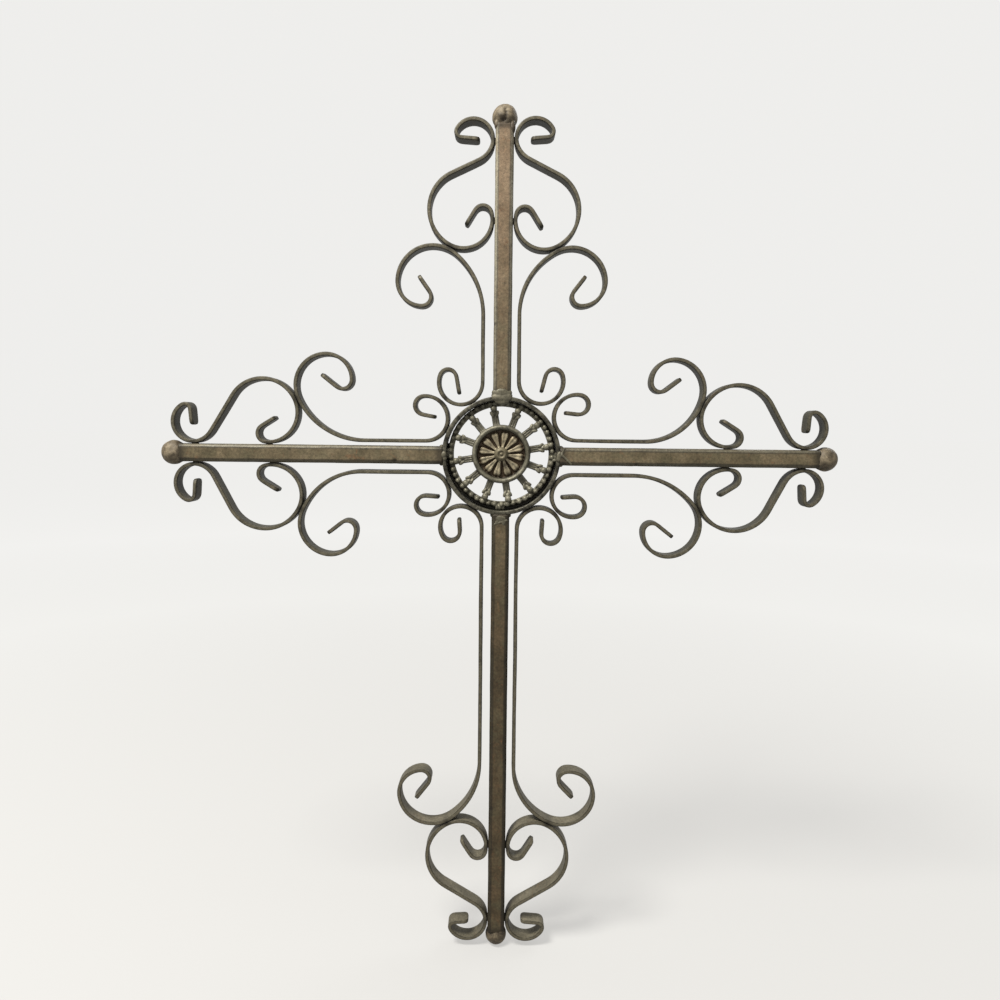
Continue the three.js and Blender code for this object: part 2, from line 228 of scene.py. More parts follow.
def lighting():
    """Even pale studio, one soft lamp above the left front and a weak one behind for the edges."""
    world = bpy.data.worlds.new("studio")
    bpy.context.scene.world = world
    world.use_nodes = True
    back = world.node_tree.nodes["Background"]
    back.inputs["Color"].default_value = (*PALE, 1)
    back.inputs["Strength"].default_value = 1.0
    bpy.context.scene.view_settings.view_transform = "Standard"
    area_light("key", (-0.56, -0.55, 1.05), size=0.5, power=62, colour=(1.0, 0.97, 0.90))
    area_light("rim", (0.9, 0.8, 0.9), size=0.8, power=8, colour=(0.95, 0.98, 1.0))


def floor():
    """Pale floor that runs out evenly into the studio's own tone."""
    mesh = bpy.data.meshes.new("floor")
    corners = [(-1, -1), (1, -1), (1, 1), (-1, 1)]
    verts = [(x * FLOOR_SIZE, y * FLOOR_SIZE, FLOOR_LEVEL) for x, y in corners]
    mesh.from_pydata(verts, [], [(0, 1, 2, 3)])
    ob = bpy.data.objects.new("floor", mesh)
    bpy.context.scene.collection.objects.link(ob)
    shade = Shade("pale_floor")
    distance = shade.tree.nodes.new("ShaderNodeVectorMath")
    distance.operation = "LENGTH"
    shade.link(shade.place, distance.inputs[0])
    outwards = shade.maths("DIVIDE", distance.outputs["Value"], FLOOR_FADE)
    glow = shade.tones(outwards, (0.18, 0.55, 1.0),
                       (0.50, 0.49, 0.47), (0.68, 0.675, 0.655), (0.757, 0.752, 0.735))
    shade.link(glow, shade.shader.inputs["Emission Color"])
    shade.shader.inputs["Emission Strength"].default_value = 1.0
    shade.shader.inputs["Base Color"].default_value = (0.12, 0.12, 0.12, 1)
    shade.shader.inputs["Roughness"].default_value = 1.0
    shade.shader.inputs["Specular IOR Level"].default_value = 0.0
    mesh.materials.append(shade.material)


# Finishes

class Shade:
    """A material and the few node moves that the finishes are made of."""

    def __init__(self, name):
        self.material = bpy.data.materials.new(name)
        self.material.use_nodes = True
        self.tree = self.material.node_tree
        self.shader = self.tree.nodes["Principled BSDF"]
        where = self.tree.nodes.new("ShaderNodeTexCoord")
        self.place = where.outputs["Object"]

    def link(self, a, b):
        self.tree.links.new(a, b)

    def noise(self, scale, detail, rough, distortion=0.0):
        node = self.tree.nodes.new("ShaderNodeTexNoise")
        node.inputs["Scale"].default_value = scale
        node.inputs["Detail"].default_value = detail
        node.inputs["Roughness"].default_value = rough
        node.inputs["Distortion"].default_value = distortion
        self.link(self.place, node.inputs["Vector"])
        return node.outputs["Fac"]

    def tones(self, fac, spots, *colours):
        """Colours blended along fac, each at its own spot."""
        node = self.tree.nodes.new("ShaderNodeValToRGB")
        elements = node.color_ramp.elements
        while len(elements) < len(colours):
            elements.new(0.5)
        for element, position, colour in zip(elements, spots, colours):
            element.position = position
            element.color = (*colour, 1)
        self.link(fac, node.inputs["Fac"])
        return node.outputs["Color"]

    def fade(self, fac, start, end, low, high):
        """A share that goes from low to high while fac goes from start to end."""
        return self.tones(fac, (start, end), (low,) * 3, (high,) * 3)

    def mix(self, fac, a, b, how="MIX"):
        node = self.tree.nodes.new("ShaderNodeMix")
        node.data_type = "RGBA"
        node.blend_type = how
        for socket, value in (("Factor_Float", fac), ("A_Color", a), ("B_Color", b)):
            target = next(s for s in node.inputs if s.identifier == socket)
            if isinstance(value, (int, float)):
                target.default_value = value
            elif isinstance(value, tuple):
                target.default_value = (*value, 1)
            else:
                self.link(value, target)
        return next(s for s in node.outputs if s.identifier == "Result_Color")

    def maths(self, how, a, b):
        node = self.tree.nodes.new("ShaderNodeMath")
        node.operation = how
        node.use_clamp = how in ("MULTIPLY", "SUBTRACT")
        for index, value in enumerate((a, b)):
            if isinstance(value, (int, float)):
                node.inputs[index].default_value = value
            else:
                self.link(value, node.inputs[index])
        return node.outputs[0]

    def marked(self, name):
        """A share painted on the mesh's points: see the marks of each piece."""
        node = self.tree.nodes.new("ShaderNodeAttribute")
        node.attribute_name = name
        return node.outputs["Fac"]

    def where(self, name, patchy):
        """A painted share broken up by noise."""
        return self.maths("MULTIPLY", self.marked(name), patchy)

    def speckled(self, colour, scale, least):
        """The colour broken up by fine speckle that darkens it down to a share of itself."""
        share = self.fade(self.noise(scale, 5, 0.7), 0.34, 0.64, least, 1.0)
        return self.mix(1.0, colour, share, "MULTIPLY")

    def bump(self, height, distance, strength, below=None):
        node = self.tree.nodes.new("ShaderNodeBump")
        node.inputs["Strength"].default_value = strength
        node.inputs["Distance"].default_value = distance
        self.link(height, node.inputs["Height"])
        if below is not None:
            self.link(below, node.inputs["Normal"])
        return node.outputs["Normal"]

    def finish(self, colour, mottle, rough, normal, specular, metallic=0.25):
        """The material, with a roughness that goes from low to high with the mottle."""
        self.link(colour, self.shader.inputs["Base Color"])
        self.link(self.fade(mottle, 0.3, 0.7, *rough), self.shader.inputs["Roughness"])
        self.link(normal, self.shader.inputs["Normal"])
        self.shader.inputs["Metallic"].default_value = metallic
        self.shader.inputs["Specular IOR Level"].default_value = specular
        return self.material


def bar_finish():
    """Tan above, darkening with painted shade through brown to umber at the foot, with green and rust in
    patches.
    """
    s = Shade("bar_patina_and_painted_light")
    mottle = s.noise(42, 8, 0.66, distortion=0.5)
    spots = (0.28, 0.50, 0.72)
    top_tone = s.tones(mottle, spots, (0.094, 0.064, 0.037), (0.140, 0.096, 0.058), (0.192, 0.138, 0.088))
    half_shaded_tone = s.tones(mottle, spots, (0.060, 0.047, 0.026), (0.108, 0.084, 0.048), (0.165, 0.130, 0.080))
    foot_shaded_tone = s.tones(mottle, spots, (0.032, 0.023, 0.012), (0.060, 0.043, 0.022), (0.096, 0.066, 0.036))
    # painted shade: the bar's colour darkens from the top tone to the foot tone going down
    foot = s.marked("foot")
    colour = s.mix(s.fade(foot, 0.05, 0.45, 0.0, 1.0), top_tone, half_shaded_tone)
    colour = s.mix(s.fade(foot, 0.50, 0.85, 0.0, 1.0), colour, foot_shaded_tone)
    green = s.fade(s.noise(90, 6, 0.66, distortion=0.8), 0.46, 0.64, 0.0, 0.50)
    green = s.maths("MULTIPLY", green, s.fade(foot, 0.05, 0.40, 0.4, 1.0))
    colour = s.mix(green, colour, (0.074, 0.068, 0.038))
    rust = s.fade(s.noise(130, 9, 0.74, distortion=1.2), 0.56, 0.68, 0.0, 0.60)
    colour = s.mix(rust, colour, (0.135, 0.064, 0.028))
    # the bevels: wear, with a painted highlight at the top and painted shade towards the foot
    worn = s.where("bevel_wear_and_light", s.fade(s.noise(60, 7, 0.7), 0.30, 0.60, 0.55, 1.0))
    bevel = s.mix(s.fade(foot, 0.10, 0.70, 0.0, 1.0), (0.205, 0.190, 0.142), (0.024, 0.020, 0.012))
    colour = s.mix(worn, colour, bevel)
    # painted shade: dark lines along the borders of faces and bevels
    line = s.where("rim", s.fade(s.noise(75, 7, 0.7), 0.30, 0.60, 0.35, 0.85))
    painted_shade = (0.014, 0.011, 0.007)
    colour = s.mix(line, colour, painted_shade)
    colour = s.speckled(s.speckled(colour, 560, 0.55), 250, 0.80)
    # painted shade at the joins and in the nicks
    colour = s.mix(s.marked("painted_shade"), colour, painted_shade)
    normal = s.bump(s.noise(330, 8, 0.7), 0.00028, 0.6)
    normal = s.bump(mottle, 0.0006, 0.35, normal)
    return s.finish(colour, mottle, (0.48, 0.66), normal, specular=0.22)


def strap_finish():
    """Dark olive, paler on the worn front edge and at the foot of the cross, with painted shade lines along
    its corners and painted shade at contacts.
    """
    s = Shade("strap_patina_and_shade")
    mottle = s.noise(55, 7, 0.6)
    spots = (0.30, 0.52, 0.74)
    olive = s.tones(mottle, spots, (0.016, 0.015, 0.009), (0.028, 0.026, 0.017), (0.048, 0.043, 0.030))
    pale = s.tones(mottle, spots, (0.052, 0.046, 0.030), (0.086, 0.076, 0.052), (0.128, 0.114, 0.082))
    colour = s.mix(s.marked("foot"), olive, pale)
    worn = s.where("front", s.fade(s.noise(180, 8, 0.7), 0.32, 0.64, 0.2, 0.95))
    colour = s.mix(worn, colour, (0.100, 0.089, 0.062))
    rust = s.fade(s.noise(95, 9, 0.72, distortion=1.0), 0.58, 0.70, 0.0, 0.5)
    colour = s.mix(rust, colour, (0.088, 0.052, 0.026))
    # painted shade: dark lines along the strap's rounded corners
    line = s.where("rim", s.fade(s.noise(110, 7, 0.7), 0.34, 0.62, 0.35, 0.95))
    colour = s.mix(line, colour, (0.010, 0.009, 0.006))
    colour = s.speckled(colour, 620, 0.50)
    # painted shade at contacts
    colour = s.mix(s.marked("painted_shade"), colour, (0.008, 0.007, 0.005))
    normal = s.bump(s.noise(360, 7, 0.62), 0.00022, 0.55)
    normal = s.bump(s.noise(85, 3, 0.5), 0.0006, 0.35, normal)
    return s.finish(colour, mottle, (0.46, 0.64), normal, specular=0.18)


def ball_finish():
    """Blotched brown with dark pits, and painted shade at the neck and in dents."""
    s = Shade("ball_patina_and_shade")
    mottle = s.noise(150, 7, 0.66, distortion=0.8)
    base = s.tones(mottle, (0.32, 0.50, 0.68),
                   (0.036, 0.027, 0.017), (0.088, 0.069, 0.043), (0.180, 0.145, 0.096))
    pits = s.fade(s.noise(330, 7, 0.72), 0.56, 0.66, 0.0, 0.8)
    colour = s.mix(pits, base, (0.040, 0.026, 0.014))
    colour = s.speckled(colour, 620, 0.60)
    # painted shade at the neck and in the dents
    colour = s.mix(s.marked("painted_shade"), colour, (0.016, 0.011, 0.007))
    normal = s.bump(s.noise(300, 7, 0.68), 0.00036, 0.6)
    return s.finish(colour, mottle, (0.54, 0.70), normal, specular=0.3)


def hoop_finish():
    """Nearly black, worn to grey on the front edge, with painted shade on the inner face towards the back."""
    s = Shade("hoop_patina_and_shade")
    mottle = s.noise(70, 7, 0.62)
    base = s.tones(mottle, (0.30, 0.55, 0.75),
                   (0.012, 0.011, 0.008), (0.026, 0.024, 0.017), (0.050, 0.046, 0.033))
    worn = s.where("front", s.fade(s.noise(140, 8, 0.7), 0.40, 0.66, 0.0, 0.85))
    colour = s.mix(worn, base, (0.092, 0.086, 0.064))
    colour = s.speckled(colour, 560, 0.55)
    # painted shade inside the ring
    colour = s.mix(s.marked("painted_shade"), colour, (0.005, 0.005, 0.004))
    normal = s.bump(s.noise(260, 7, 0.62), 0.00022, 0.5)
    return s.finish(colour, mottle, (0.44, 0.62), normal, specular=0.18)


def medallion_finish():
    """Dark in the hollows and brushed pale on the heights, warmer on petals and boss."""
    s = Shade("cast_patina")
    mottle = s.noise(160, 8, 0.65)
    dark = s.tones(mottle, (0.32, 0.70), (0.008, 0.007, 0.005), (0.026, 0.023, 0.017))
    high = s.where("height", s.fade(s.noise(330, 8, 0.7), 0.30, 0.60, 0.10, 1.0))
    silver = s.tones(s.noise(60, 4, 0.5), (0.35, 0.65), (0.070, 0.065, 0.045), (0.132, 0.124, 0.091))
    colour = s.mix(high, dark, silver)
    petal = s.tones(s.noise(90, 5, 0.6), (0.35, 0.62), (0.140, 0.115, 0.071), (0.250, 0.213, 0.142))
    colour = s.mix(s.where("petal", high), colour, petal)
    low = s.maths("SUBTRACT", 1.0, s.marked("height"))
    colour = s.mix(s.where("petal", low), colour, (0.040, 0.026, 0.014))
    colour = s.mix(s.where("boss", 0.75), colour, (0.088, 0.074, 0.045))
    normal = s.bump(s.noise(420, 7, 0.65), 0.00025, 0.5)
    return s.finish(colour, mottle, (0.44, 0.62), normal, specular=0.25, metallic=0.35)


def weld_finish():
    """Grey-brown filler, with painted shade towards the back."""
    s = Shade("weld_patina_and_shade")
    mottle = s.noise(120, 7, 0.6)
    base = s.tones(mottle, (0.30, 0.52, 0.74),
                   (0.048, 0.043, 0.028), (0.088, 0.080, 0.055), (0.150, 0.134, 0.096))
    colour = s.speckled(base, 560, 0.50)
    # painted shade towards the back of the filler
    colour = s.mix(s.marked("painted_shade"), colour, (0.010, 0.009, 0.006))
    normal = s.bump(s.noise(330, 7, 0.65), 0.00025, 0.5)
    return s.finish(colour, mottle, (0.46, 0.64), normal, specular=0.25)


# Mesh helpers

CORNERS = ((1, 1), (-1, 1), (-1, -1), (1, -1))


def mark(ob, name, values):
    attribute = ob.data.attributes.new(name, "FLOAT", "POINT")
    attribute.data.foreach_set("value", np.asarray(values, np.float32))


def make_object(name, verts, faces, material, marks=None, nodes=()):
    """A smooth piece on the root, from points in metres; marks are painted shares, one for each point."""
    mesh = bpy.data.meshes.new(name)
    mesh.from_pydata([tuple(v) for v in verts], [], faces)
    bm = bmesh.new()
    bm.from_mesh(mesh)
    bmesh.ops.recalc_face_normals(bm, faces=bm.faces)
    bm.to_mesh(mesh)
    bm.free()
    mesh.polygons.foreach_set("use_smooth", [True] * len(mesh.polygons))
    mesh.materials.append(material)
    ob = bpy.data.objects.new(name, mesh)
    bpy.context.scene.collection.objects.link(ob)
    for key, values in (marks or {}).items():
        mark(ob, key, values)
    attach(ob, "root")
    if nodes:
        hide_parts(*nodes)
    return ob


def lofted(rings, closed=False):
    """Vertices and faces of a tube through rings, an array of (ring, point, 3); open ends are capped."""
    count, around = rings.shape[:2]
    faces = []
    for i in range(count if closed else count - 1):
        a, b = i * around, (i + 1) % count * around
        for j in range(around):
            k = (j + 1) % around
            faces.append((a + j, a + k, b + k, b + j))
    if not closed:
        faces.append(tuple(range(around - 1, -1, -1)))
        faces.append(tuple(range((count - 1) * around, count * around)))
    return rings.reshape(-1, 3), faces


def rounded_box(half_u, half_v, corner, per_corner, spare_u, spare_v):
    """Loop of (u, v) round a rectangle with rounded corners, with spare points along its sides."""
    arcs = []
    for quadrant, (su, sv) in enumerate(CORNERS):
        centre = (su * (half_u - corner), sv * (half_v - corner))
        arcs.append([at_angle(centre, corner, 90 * quadrant + 90 * i / (per_corner - 1))
                     for i in range(per_corner)])
    loop = []
    for quadrant, arc in enumerate(arcs):
        start, end = arc[-1], arcs[(quadrant + 1) % 4][0]
        spare = spare_v if quadrant % 2 else spare_u
        loop += arc + [start + (end - start) * i / (spare + 1) for i in range(1, spare + 1)]
    return np.array(loop)


def lump(centre, size, cuts, turn=0.0):
    """Vertices and faces of a rounded lump with half sizes (across, depth, out)."""
    rings = []
    for i in range(1, cuts):
        polar = math.pi * i / cuts
        ring = []
        for j in range(2 * cuts):
            a = math.pi * j / cuts
            ring.append((math.sin(polar) * math.cos(a), math.cos(polar), math.sin(polar) * math.sin(a)))
        rings.append(ring)
    verts, faces = lofted(np.array(rings))
    verts = verts * np.array(size)
    a = math.radians(turn)
    x = verts[:, 0] * math.cos(a) + verts[:, 2] * math.sin(a)
    z = verts[:, 2] * math.cos(a) - verts[:, 0] * math.sin(a)
    return np.column_stack([x, verts[:, 1], z]) + np.array(centre), faces


def joined(parts):
    """Vertices and faces of several shells as one list of each."""
    verts, faces, total = [], [], 0
    for part_verts, part_faces in parts:
        verts.append(part_verts)
        faces += [tuple(i + total for i in face) for face in part_faces]
        total += len(part_verts)
    return np.vstack(verts), faces


def fused(ob, voxel, smooth):
    """One skin over all the shells of a piece, smoothed so many times."""
    remesh = ob.modifiers.new("fuse", "REMESH")
    remesh.mode = "VOXEL"
    remesh.voxel_size = voxel
    remesh.use_smooth_shade = True
    ease = ob.modifiers.new("ease", "SMOOTH")
    ease.factor = 0.5
    ease.iterations = smooth
    graph = bpy.context.evaluated_depsgraph_get()
    mesh = bpy.data.meshes.new_from_object(ob.evaluated_get(graph))
    ob.modifiers.clear()
    for material in ob.data.materials:
        if material.name not in mesh.materials:
            mesh.materials.append(material)
    ob.data = mesh
    mesh.polygons.foreach_set("use_smooth", [True] * len(mesh.polygons))


def mesh_points(ob):
    """The piece's points in millimetres."""
    co = np.empty(len(ob.data.vertices) * 3)
    ob.data.vertices.foreach_get("co", co)
    return co.reshape(-1, 3) / MM


def set_points(ob, points):
    ob.data.vertices.foreach_set("co", (points * MM).ravel())
    ob.data.update()


def outward(points, middle):
    """Unit vectors away from a middle."""
    away = points - middle
    return away / np.maximum(np.linalg.norm(away, axis=1), 1e-6)[:, None]


# Scroll paths

def ring_bend(b):
    """Centre of the curl that runs down beside the bar and touches the hoop."""
    touch = HOOP_RADIUS + GAP + STRAP_HALF
    out = math.sqrt((touch + b["ring"]) ** 2 - (b["offset"] + b["ring"]) ** 2)
    return np.array([b["offset"] + b["ring"], out])


def scroll_centres(arm, b):
    """Centres of an S scroll's bends and of the crest on its back, and the distance from ease to bow."""
    contact = BAR_HALF + GAP + STRAP_HALF
    outer = np.array([contact + b["outer"], arm["reach"] - b["inset"] - STRAP_HALF - b["outer"]])
    ease = at_angle(outer, b["outer"] - b["ease"], b["ease_angle"])
    meet = at_angle((0, 0), 1, b["meet"])
    inner = np.array([contact + b["inner"], 0.0])
    bow = inner + meet * (b["inner"] - b["bow"])
    apart = math.hypot(b["bow"] + b["ease"], b["link"])
    lift = ease[1] - math.sqrt(apart ** 2 - (ease[0] - bow[0]) ** 2) - bow[1]
    inner[1] += lift
    bow[1] += lift
    crest = inner + meet * (b["inner"] + b["crest"] + STRAP + GAP)
    return outer, ease, inner, bow, crest, apart


def travel(angle, clockwise):
    """Unit vector of travel round a bend at one angle."""
    a = math.radians(angle)
    sign = 1 if clockwise else -1
    return sign * np.array([math.sin(a), -math.cos(a)])


def bend_points(bends, start_tip, end_tip):
    """Middle line of a strap: straight tip, bends (centre, radius, from, to), straight tip."""
    points = []
    for centre, radius, a, b in bends:
        steps = max(3, int(abs(b - a) * math.pi / 180 * radius / STEP))
        run = [at_angle(centre, radius, a + (b - a) * i / steps) for i in range(steps + 1)]
        if points:
            last = points[-1]
            gap = np.linalg.norm(run[0] - last)
            spare = int(gap / STEP)
            points += [last + (run[0] - last) * i / (spare + 1) for i in range(1, spare + 1)]
            run = run if gap > 0.3 * STEP else run[1:]
        points += run
    back = -travel(bends[0][2], bends[0][3] < bends[0][2])
    onward = travel(bends[-1][3], bends[-1][3] < bends[-1][2])
    lead = [points[0] + back * d for d in np.linspace(start_tip, 0, int(start_tip / STEP) + 1)[:-1]]
    tail = [points[-1] + onward * d for d in np.linspace(0, end_tip, int(end_tip / STEP) + 1)[1:]]
    return np.array(lead + points + tail)


def long_path(arm, b):
    """From the curl at the hoop, out beside the bar, over the crest and down to the drop."""
    ring = ring_bend(b)
    crest = scroll_centres(arm, b)[4]
    lean = -math.cos(math.radians(b["crest_join"]))
    long_radius = (crest[0] - b["offset"] - b["crest"] * lean) / (1 - lean)
    hook = at_angle(ring, b["ring"] - b["ring_hook"], b["ring_angle"])
    long_centre = at_angle(crest, b["crest"] - long_radius, b["crest_join"])
    drop = at_angle(crest, b["crest"] - b["drop"], b["crest_drop"])
    drop_hook = at_angle(drop, b["drop"] - b["drop_hook"], b["drop_angle"])
    return bend_points([
        (hook, b["ring_hook"], b["ring_heading"] + 90, b["ring_angle"]),
        (ring, b["ring"], b["ring_angle"], -180),
        (long_centre, long_radius, 180, b["crest_join"]),
        (crest, b["crest"], b["crest_join"], b["crest_drop"]),
        (drop, b["drop"], b["crest_drop"], b["drop_angle"]),
        (drop_hook, b["drop_hook"], b["drop_angle"], b["drop_heading"] - 270),
    ], b["ring_tip"] + STRAP_HALF, b["drop_tip"] + STRAP_HALF)


def s_path(arm, b):
    """From the curl at the arm's end, down the bow and round to the inner curl."""
    outer, ease, inner, bow, _, apart = scroll_centres(arm, b)
    outer_hook = at_angle(outer, b["outer"] - b["outer_hook"], b["outer_angle"])
    inner_hook = at_angle(inner, b["inner"] - b["inner_hook"], b["inner_angle"])
    towards = math.degrees(math.atan2(bow[1] - ease[1], bow[0] - ease[0])) + 360
    leave = towards - math.degrees(math.acos((b["bow"] + b["ease"]) / apart))
    return bend_points([
        (outer_hook, b["outer_hook"], b["outer_heading"] - 90, b["outer_angle"]),
        (outer, b["outer"], b["outer_angle"], b["ease_angle"]),
        (ease, b["ease"], b["ease_angle"], leave),
        (bow, b["bow"], leave - 180, b["meet"]),
        (inner, b["inner"], b["meet"], b["inner_angle"] - 360),
        (inner_hook, b["inner_hook"], b["inner_angle"], b["inner_heading"] + 90),
    ], b["outer_tip"] + STRAP_HALF, b["inner_tip"] + STRAP_HALF)


def softened(points, spread):
    """The same line with its changes of curvature eased, as a bar bent round a jig has them."""
    step = np.linalg.norm(np.diff(points, axis=0), axis=1).mean()
    reach = int(3 * spread / step)
    weights = np.exp(-0.5 * (np.arange(-reach, reach + 1) * step / spread) ** 2)
    weights /= weights.sum()
    lead = 2 * points[0] - points[reach:0:-1]
    tail = 2 * points[-1] - points[-2:-reach - 2:-1]
    long = np.vstack([lead, points, tail])
    return np.column_stack([np.convolve(long[:, i], weights, "valid") for i in range(2)])


def evened(points, step):
    """The line again at even steps, closer together at its two ends, and how far along each point is."""
    gaps = np.linalg.norm(np.diff(points, axis=0), axis=1)
    along = np.concatenate([[0], np.cumsum(gaps)])
    ends = np.array([0.03, 0.12, 0.3, 0.6, 1.0, 1.5, 2.2, 3.0])
    length = along[-1]
    body = np.linspace(4.0, length - 4.0, int((length - 8.0) / step) + 1)
    marks = np.concatenate([ends, body, length - ends[::-1]])
    return np.column_stack([np.interp(marks, along, points[:, i]) for i in range(2)]), marks, length


def rounding(near_end, radius):
    """How far a rounded corner of this radius has drawn in at a distance from the end."""
    rest = np.clip(radius - near_end, 0, radius)
    return radius - np.sqrt(radius ** 2 - rest ** 2)


def strap(node, path, arm_name, side, seed, contacts):
    """A bent strap along its path; contacts are spots (place, size) darkened with painted shade."""
    line, along, length = evened(softened(path, BEND_EASE), STRAP_STEP)
    tangent = np.gradient(line, along, axis=0)
    tangent /= np.linalg.norm(tangent, axis=1)[:, None]
    normal = np.column_stack([-tangent[:, 1], tangent[:, 0]])
    flat = np.column_stack([along, np.zeros_like(along), np.zeros_like(along)])
    line = line + normal * (0.16 * ripple(flat, 26, seed))[:, None]
    thick = 1 + 0.05 * ripple(flat, 15, seed + 1)
    front = 0.25 * ripple(flat, 22, seed + 2)
    lean = 0.035 * ripple(flat, 60, seed + 3)
    near_end = np.minimum(along, length - along)
    thin = 1 - rounding(near_end, STRAP_END_THIN) / 1.25
    draw = rounding(near_end, STRAP_END_ROUND)
    loop = rounded_box(STRAP_HALF, STRAP_DEPTH / 2, STRAP_CORNER, 4, 2, 5)
    inside = np.array([STRAP_HALF, STRAP_DEPTH / 2]) - STRAP_EDGE
    # the rounded corners, which get painted shade lines
    corner = (np.abs(loop) > inside).all(axis=1)
    rings, marks = [], {"front": [], "painted_shade": [], "rim": []}
    for i in range(len(line)):
        u = loop[:, 0] * thick[i] * thin[i]
        v = loop[:, 1] * (1 - 2 * draw[i] / STRAP_DEPTH) - STRAP_DEPTH / 2
        v = np.where(v < -STRAP_DEPTH / 2, v - front[i], v)
        across = line[i][0] + normal[i][0] * (u + lean[i] * v)
        out = line[i][1] + normal[i][1] * (u + lean[i] * v)
        rings.append(np.column_stack([side * across, v, out]))
        marks["front"].append(np.clip((-v - STRAP_DEPTH + 0.95) / 0.7, 0, 1))
        marks["rim"].append(corner)
        # painted shade round the spots where the strap touches other parts
        dark = np.zeros(len(loop))
        for spot, size in contacts:
            far = np.hypot(across - spot[0], out - spot[1])
            dark = np.maximum(dark, 0.9 * np.exp(-(far / size) ** 2))
        marks["painted_shade"].append(dark)
    verts, faces = lofted(np.array(rings))
    verts[:, 1] += 0.05 * ripple(verts, 7.0, seed + 4)
    marks = {key: np.concatenate(values) for key, values in marks.items()}
    placed = place(verts, ARMS[arm_name]["turn"])
    marks["foot"] = np.clip((SCROLL_FOOT - placed[:, 2]) / 0.10, 0, 1)
    make_object(node + "_bent", placed, faces, FINISH["strap"], marks, [node])


# Bars, balls, hoop

def neck_of(arm):
    """Where the bar's flat faces run into the ball."""
    return arm["reach"] - arm["ball"] - math.sqrt(arm["ball"] ** 2 - BAR_HALF ** 2)


def bar_section(bevels, share, flat_points):
    """Loop round a bar with a slightly bulged bevel at each corner; share runs from 0 to 1 along one."""
    arcs = []
    for k, (bevel, signs) in enumerate(zip(bevels, CORNERS)):
        flat = BAR_HALF - bevel
        ends = np.array([(BAR_HALF, flat), (flat, BAR_HALF)]) * signs
        first, last = ends[::-1] if k % 2 else ends
        bulge = 0.16 * bevel * 4 * share * (1 - share)
        arcs.append(first + np.outer(share, last - first) + np.outer(bulge * 0.7, signs))
    loop = []
    for k, arc in enumerate(arcs):
        start, end = arc[-1], arcs[(k + 1) % 4][0]
        flat_share = np.arange(1, flat_points + 1) / (flat_points + 1)
        loop += [arc, start + np.outer(flat_share, end - start)]
    return np.vstack(loop)


def bar(arm_name, seed, nicks):
    """A square bar from hoop to ball: uneven bevels, a slight sway, a hammered skin and nicks."""
    arm = ARMS[arm_name]
    start, end = HOOP_RADIUS - 0.4, neck_of(arm) + 0.6
    heights = np.linspace(start, end, int((end - start) / STEP) + 1)
    line = np.column_stack([heights, np.zeros_like(heights), np.zeros_like(heights)])
    bevels = np.array([BAR_BEVEL + 0.3 * ripple(line, 14, seed + k) for k in range(4)])
    sway = 0.12 * ripple(line, 70, seed + 9)
    share = np.arange(6) / 5
    plain = np.zeros(7)
    # shares on the bevels for their wear, painted highlight and painted shade
    worn = np.tile(np.concatenate([np.minimum(1, 4 * share * (1 - share) + 0.55), plain]), 4)
    # borders of the faces and bevels, which get painted shade lines
    shade_line_edges = np.tile(np.concatenate([(share == 0) | (share == 1), plain]), 4)
    rings, painted_shade = [], []
    for i, z in enumerate(heights):
        loop = bar_section(bevels[:, i], share, len(plain))
        rings.append(np.column_stack([loop[:, 0] + sway[i], loop[:, 1] - BAR_HALF, np.full(len(loop), z)]))
        # painted shade where the bar meets the hoop and the ball, and in the nicks
        near = math.exp(-((z - start) / 5.0) ** 2) + math.exp(-((end - z) / 4.0) ** 2)
        painted_shade.append(np.full(len(loop), min(0.75, near)))
    verts, faces = lofted(np.array(rings))
    middle = np.column_stack([np.zeros(len(verts)), np.full(len(verts), -BAR_HALF), verts[:, 2]])
    push = 0.10 * ripple(verts, 16, seed + 20) + 0.05 * ripple(verts, 4.5, seed + 21)
    painted_shade = np.concatenate(painted_shade)
    for x, y, z, size, depth in nicks:
        far = np.linalg.norm((verts - np.array([x, y, z])) / np.array([size, 2.2, size]), axis=1)
        push -= depth * np.exp(-far ** 2)
        painted_shade = np.maximum(painted_shade, 0.9 * np.exp(-(far / 0.9) ** 2))
    placed = place(verts + outward(verts, middle) * push[:, None], arm["turn"])
    # share of painted shade, growing towards the bottom of the cross
    foot = np.clip((BAR_SHADE_TOP - placed[:, 2]) / (BAR_SHADE_TOP - BAR_SHADE_FOOT), 0, 1)
    marks = {"bevel_wear_and_light": np.tile(worn, len(heights)), "rim": np.tile(shade_line_edges, len(heights)),
             "painted_shade": painted_shade, "foot": foot}
    node = arm_name + "_bar"
    make_object(node + "_worn_and_shaded", placed, faces, FINISH["bar"], marks, [node])


def ball(arm_name, seed, filler, dents):
    """A ball in one skin with the filler at its neck."""
    arm = ARMS[arm_name]
    radius, turn, neck = arm["ball"], arm["turn"], neck_of(arm)
    centre = arm["reach"] - radius
    shells = [lump((0, -BAR_HALF, centre), (radius, radius, radius), 26)]
    shells += [lump((x, y, neck + z), (rx, ry, rz), 9) for x, y, z, rx, ry, rz in filler]
    verts, faces = joined(shells)
    node = arm_name + "_ball"
    ob = make_object(node + "_cast", place(verts, turn), faces, FINISH["ball"], nodes=[node])
    fused(ob, BALL_VOXEL, 2)
    points = mesh_points(ob)
    own = local(points, turn)
    push = 0.22 * ripple(points, 5.5, seed) + 0.10 * ripple(points, 2.1, seed + 1)
    # painted shade, darkest at the neck where the ball meets the bar, and in the dents
    painted_shade = np.clip(0.5 - 0.25 * (own[:, 2] - neck), 0, 0.45)
    for x, y, z, size, depth in dents:
        far = np.linalg.norm(own - np.array([x, y, centre + z]), axis=1) / size
        push -= depth * np.exp(-far ** 2)
        painted_shade = np.maximum(painted_shade, min(1.0, depth) * np.exp(-(far / 0.95) ** 2))
    middle = place([(0, -BAR_HALF, centre)], turn)[0] / MM
    set_points(ob, points + outward(points, middle) * push[:, None])
    mark(ob, "painted_shade", painted_shade)


